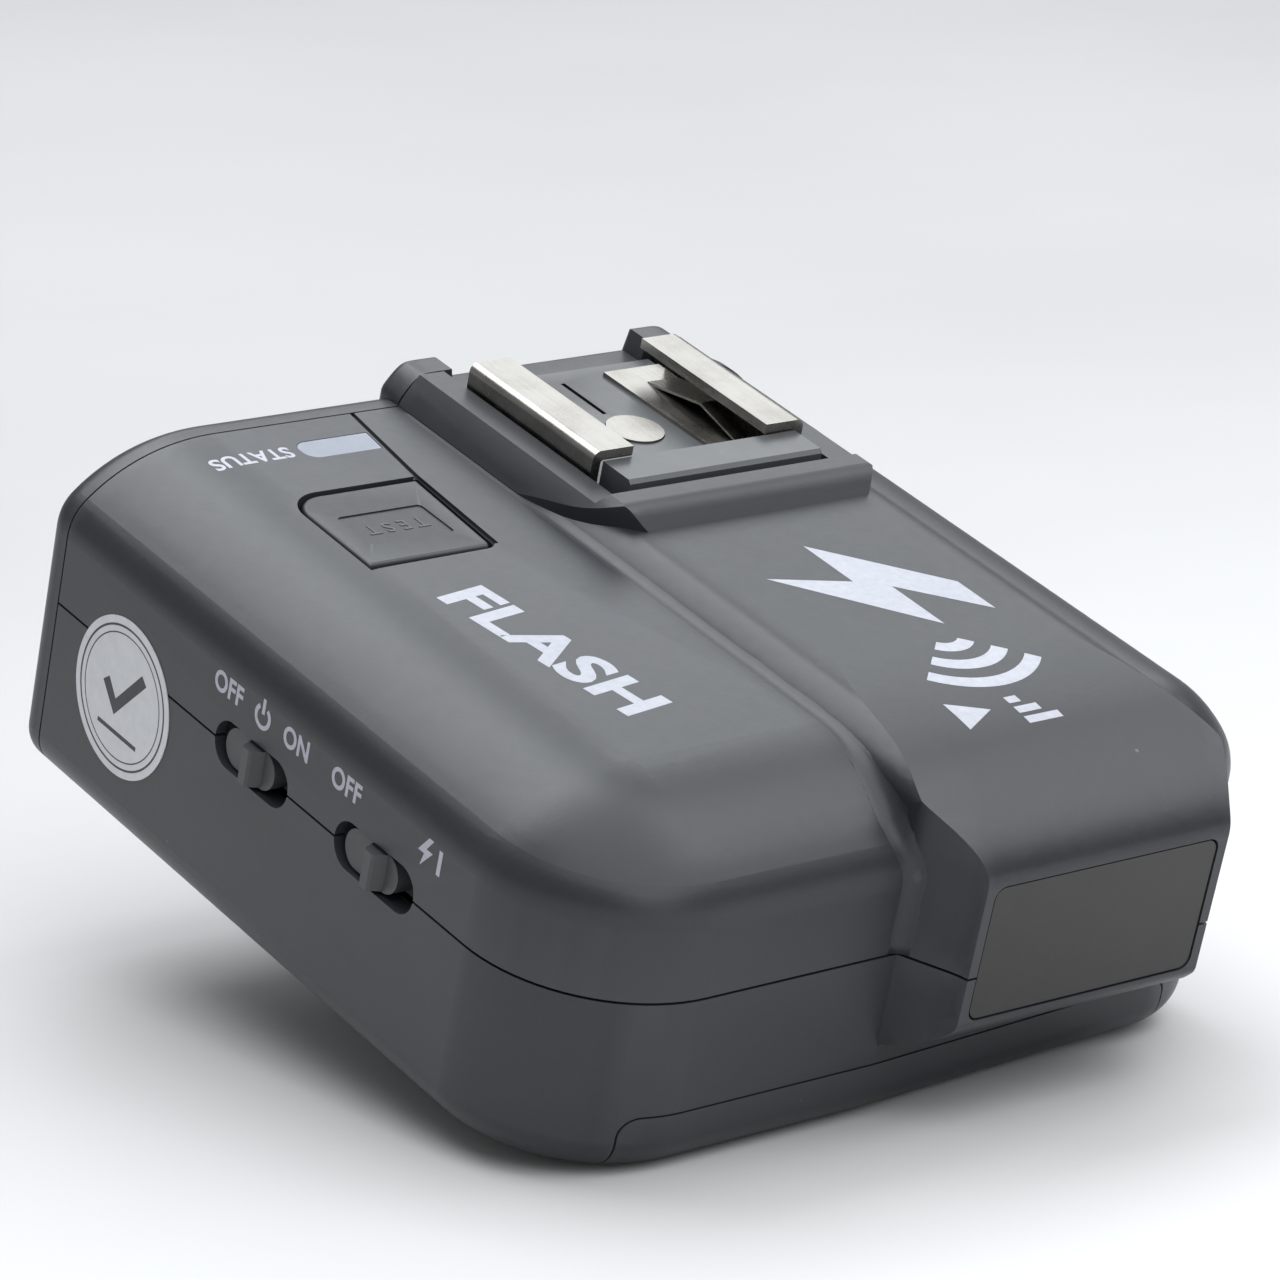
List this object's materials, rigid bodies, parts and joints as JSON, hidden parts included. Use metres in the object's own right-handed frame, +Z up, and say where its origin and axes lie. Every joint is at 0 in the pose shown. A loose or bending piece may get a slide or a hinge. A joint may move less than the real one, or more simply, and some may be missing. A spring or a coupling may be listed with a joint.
{
  "type": "wireless flash trigger",
  "caption": "On-camera radio flash trigger: hollow shell casing with a pass-through hot shoe, sliding switches, keys, dial, battery bay and clamping foot.",
  "frame": {"origin": "middle of the camera foot's bottom face, straight below the middle of the top shoe", "axes": "+Z up, +Y towards the subject (the nose and its window), +X towards the side with the two slide switches"},
  "size_m": [0.0667, 0.0735, 0.042],
  "materials": {
    "shell_plastic": "fine matte texture",
    "inner_plastic": "matte",
    "shoe_plastic": "satin",
    "knob_plastic": "matte",
    "key_plastic": "matte",
    "dial_rubber": "ribbed",
    "board": "solder mask",
    "module_metal": "plain",
    "window_plastic": "dark satin",
    "light_pipe": "milky",
    "nickel": "bright nickel",
    "foot_metal": "plain",
    "gold_contact": "polished",
    "screw_steel": "black zinc",
    "cell_wrap": "film",
    "sticker": "paper"
  },
  "bodies": {
    "casing": {"af_emitter": "light_pipe", "af_window": "window_plastic", "battery_cell_front": "cell_wrap", "battery_cell_rear": "cell_wrap", "battery_contacts_left": "nickel", "battery_contacts_right": "nickel", "battery_tray": "inner_plastic", "case_screws": "screw_steel", "dial_bracket": "inner_plastic", "dial_encoder": "inner_plastic", "foot_base": "shell_plastic", "foot_insulator": "inner_plastic", "foot_post": "inner_plastic", "foot_screws": "screw_steel", "inspection_sticker": "sticker", "key_board": "board", "key_switches": "module_metal", "lcd_module": "module_metal", "lcd_window": "window_plastic", "lower_shell": "shell_plastic", "main_board": "board", "mode_switch_body": "module_metal", "power_switch_body": "module_metal", "radio_module": "module_metal", "rear_cover": "shell_plastic", "shoe_centre_contact": "nickel", "shoe_foot": "foot_metal", "shoe_insulator": "shoe_plastic", "shoe_rail_frame": "nickel", "shoe_spring_plate": "nickel", "status_led": "light_pipe", "status_light_pipe": "light_pipe", "sync_jack": "inner_plastic", "test_tact_switch": "module_metal", "upper_shell": "shell_plastic", "usb_port": "nickel"},
    "battery_door": {"battery_door": "shell_plastic"},
    "test_button": {"test_button": "key_plastic"},
    "power_knob": {"power_switch_knob": "knob_plastic"},
    "mode_knob": {"mode_switch_knob": "knob_plastic"},
    "rear_key_1": {"rear_button_1": "key_plastic"},
    "rear_key_2": {"rear_button_2": "key_plastic"},
    "rear_key_3": {"rear_button_3": "key_plastic"},
    "rear_key_4": {"rear_button_4": "key_plastic"},
    "dial": {"select_dial": "dial_rubber", "dial_axle": "foot_metal"},
    "lock_plate": {"lock_plate": "foot_metal", "locking_pin": "foot_metal"},
    "lock_ring": {"lock_ring": "knob_plastic"},
    "foot_pin_centre": {"foot_pin_centre": "gold_contact"},
    "foot_pin_left": {"foot_pin_left": "gold_contact"},
    "foot_pin_middle": {"foot_pin_middle": "gold_contact"},
    "foot_pin_right": {"foot_pin_right": "gold_contact"}
  },
  "joints": [
    {"name": "battery_door_slide", "type": "slide", "parent": "casing", "child": "battery_door", "axis": [0, 1, 0], "range_m": [0, 0.032]},
    {"name": "test_button_press", "type": "slide", "parent": "casing", "child": "test_button", "axis": [0, 0, -1], "range_m": [0, 0.0006], "stiffness_N_per_m": 400},
    {"name": "power_switch_slide", "type": "slide", "parent": "casing", "child": "power_knob", "axis": [0, 1, 0], "range_m": [0, 0.0019]},
    {"name": "mode_switch_slide", "type": "slide", "parent": "casing", "child": "mode_knob", "axis": [0, 1, 0], "range_m": [0, 0.0021]},
    {"name": "rear_key_1_press", "type": "slide", "parent": "casing", "child": "rear_key_1", "axis": [0, 1, 0], "range_m": [0, 0.0005], "stiffness_N_per_m": 300},
    {"name": "rear_key_2_press", "type": "slide", "parent": "casing", "child": "rear_key_2", "axis": [0, 1, 0], "range_m": [0, 0.0005], "stiffness_N_per_m": 300},
    {"name": "rear_key_3_press", "type": "slide", "parent": "casing", "child": "rear_key_3", "axis": [0, 1, 0], "range_m": [0, 0.0005], "stiffness_N_per_m": 300},
    {"name": "rear_key_4_press", "type": "slide", "parent": "casing", "child": "rear_key_4", "axis": [0, 1, 0], "range_m": [0, 0.0005], "stiffness_N_per_m": 300},
    {"name": "select_dial_turn", "type": "hinge", "parent": "casing", "child": "dial", "pos_m": [0.0278, -0.0086, 0.028], "axis": [1, 0, 0], "continuous": true},
    {"name": "lock_plate_slide", "type": "slide", "parent": "casing", "child": "lock_plate", "axis": [0, 0, -1], "range_m": [0, 0.0015]},
    {"name": "lock_ring_turn", "type": "hinge", "parent": "lock_plate", "child": "lock_ring", "pos_m": [0, 0, 0.0073], "axis": [0, 0, -1], "range_deg": [0, 270]},
    {"name": "foot_pin_centre_press", "type": "slide", "parent": "casing", "child": "foot_pin_centre", "axis": [0, 0, 1], "range_m": [0, 0.00035], "stiffness_N_per_m": 250},
    {"name": "foot_pin_left_press", "type": "slide", "parent": "casing", "child": "foot_pin_left", "axis": [0, 0, 1], "range_m": [0, 0.00035], "stiffness_N_per_m": 250},
    {"name": "foot_pin_middle_press", "type": "slide", "parent": "casing", "child": "foot_pin_middle", "axis": [0, 0, 1], "range_m": [0, 0.00035], "stiffness_N_per_m": 250},
    {"name": "foot_pin_right_press", "type": "slide", "parent": "casing", "child": "foot_pin_right", "axis": [0, 0, 1], "range_m": [0, 0.00035], "stiffness_N_per_m": 250}
  ],
  "couplings": [
    {"joint": "lock_plate_slide", "follows": "lock_ring_turn", "m_per_rad": 0.00031831}
  ]
}
